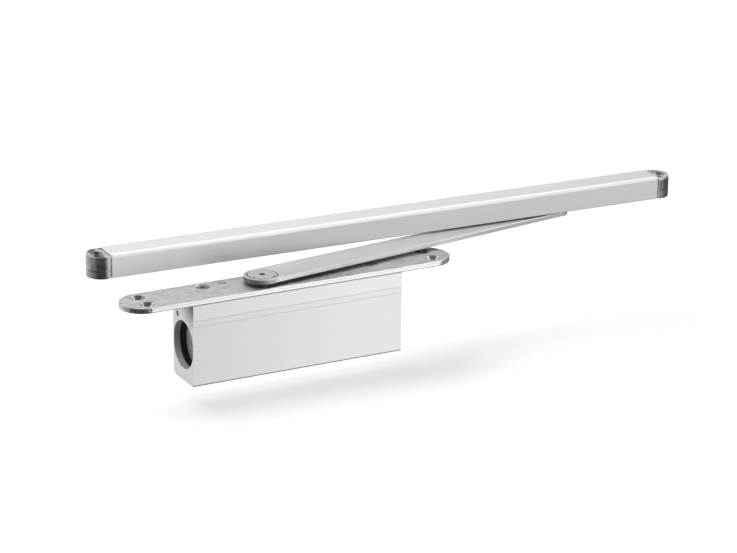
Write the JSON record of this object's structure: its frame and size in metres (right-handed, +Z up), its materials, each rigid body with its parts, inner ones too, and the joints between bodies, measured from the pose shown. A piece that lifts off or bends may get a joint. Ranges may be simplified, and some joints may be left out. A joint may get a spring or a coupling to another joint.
{
  "type": "concealed door damper",
  "caption": "Concealed hydraulic door damper: brushed housing under a round-ended face plate, flat arm on a spindle and a slider in an aluminium rail with dark end caps.",
  "frame": {"origin": "middle of the four face plate screw holes, in the plane of the plate's underside", "axes": "+X along the face plate towards the arm's slider, +Y across it towards the rail, +Z up out of the door leaf along the spindle"},
  "size_m": [0.4637, 0.0737, 0.0853],
  "materials": {
    "housing_aluminium": "extruded and brushed",
    "plate_steel": "fine grain along its length",
    "arm_steel": "satin nickel plated",
    "rail_aluminium": "satin anodised",
    "cap_metal": "dark, semi-gloss",
    "screw_steel": "bright zinc plated",
    "steel": "ground",
    "plug_aluminium": "turned",
    "ring_black": "matt",
    "rubber": "matt",
    "bronze": "sintered",
    "seal_polymer": "smooth",
    "slider_polymer": "smooth",
    "spring_steel": "oil hardened"
  },
  "bodies": {
    "housing": {"housing": "housing_aluminium", "face_plate": "plate_steel", "plate_screws": "screw_steel", "left_end_plug": "plug_aluminium", "right_end_plug": "plug_aluminium", "plug_o_rings": "rubber", "left_end_ring": "ring_black", "right_end_ring": "ring_black", "upper_bearing": "steel", "spindle_seal": "rubber", "bearing_ring": "steel", "lower_bush": "bronze", "gallery_balls": "steel", "return_spring": "spring_steel", "spring_seat": "steel", "follower_spring": "spring_steel", "valve_o_rings": "rubber"},
    "arm": {"spindle": "steel", "drive_cam": "steel", "arm": "arm_steel", "arm_screw": "screw_steel", "slider_stud": "steel", "slider_clip": "spring_steel"},
    "spring_piston": {"spring_piston": "steel", "spring_piston_seal": "seal_polymer", "spring_roller_pin": "steel"},
    "spring_roller": {"spring_roller": "steel"},
    "damping_piston": {"damping_piston": "steel", "damping_piston_seal": "seal_polymer", "damping_roller_pin": "steel", "check_ball": "steel", "check_retainer": "steel"},
    "damping_roller": {"damping_roller": "steel"},
    "closing_valve": {"closing_valve": "steel"},
    "opening_valve": {"opening_valve": "steel"},
    "slider": {"slider": "slider_polymer"},
    "rail": {"rail": "rail_aluminium", "left_rail_cap": "cap_metal", "right_rail_cap": "cap_metal", "opening_stop": "steel", "stop_screw": "spring_steel", "stop_buffer": "rubber"}
  },
  "joints": [
    {"name": "arm_swing", "type": "hinge", "parent": "housing", "child": "arm", "pos_m": [-0.02, 0, -0.0324], "axis": [0, 0, 1], "range_deg": [-7.8, 112.2]},
    {"name": "spring_piston_slide", "type": "slide", "parent": "housing", "child": "spring_piston", "axis": [1, 0, 0], "range_m": [-0.00044, 0.00566], "deforming": ["return_spring"]},
    {"name": "damping_piston_slide", "type": "slide", "parent": "housing", "child": "damping_piston", "axis": [1, 0, 0], "range_m": [-0.00044, 0.00566], "deforming": ["follower_spring"]},
    {"name": "spring_roller_spin", "type": "hinge", "parent": "spring_piston", "child": "spring_roller", "pos_m": [-0.00731, 0, -0.0324], "axis": [0, 0, 1], "continuous": true},
    {"name": "damping_roller_spin", "type": "hinge", "parent": "damping_piston", "child": "damping_roller", "pos_m": [-0.03791, 0, -0.0324], "axis": [0, 0, 1], "continuous": true},
    {"name": "closing_valve_turn", "type": "hinge", "parent": "housing", "child": "closing_valve", "pos_m": [-0.046, 0.009, 0], "axis": [0, 0, 1], "range_deg": [-180, 180]},
    {"name": "opening_valve_turn", "type": "hinge", "parent": "housing", "child": "opening_valve", "pos_m": [0.04, 0.009, 0], "axis": [0, 0, 1], "range_deg": [-180, 180]},
    {"name": "slider_pivot", "type": "hinge", "parent": "arm", "child": "slider", "pos_m": [0.23908, 0.03549, 0.0093], "axis": [0, 0, 1], "range_deg": [-75, 15]},
    {"name": "rail_slide", "type": "slide", "parent": "slider", "child": "rail", "axis": [0.9995, -0.0314, 0], "range_m": [-0.05, 0.3]}
  ],
  "couplings": [
    {"joint": "spring_piston_slide", "follows": "arm_swing", "m_per_rad": 0.0028648},
    {"joint": "damping_piston_slide", "follows": "arm_swing", "m_per_rad": 0.0028648}
  ]
}
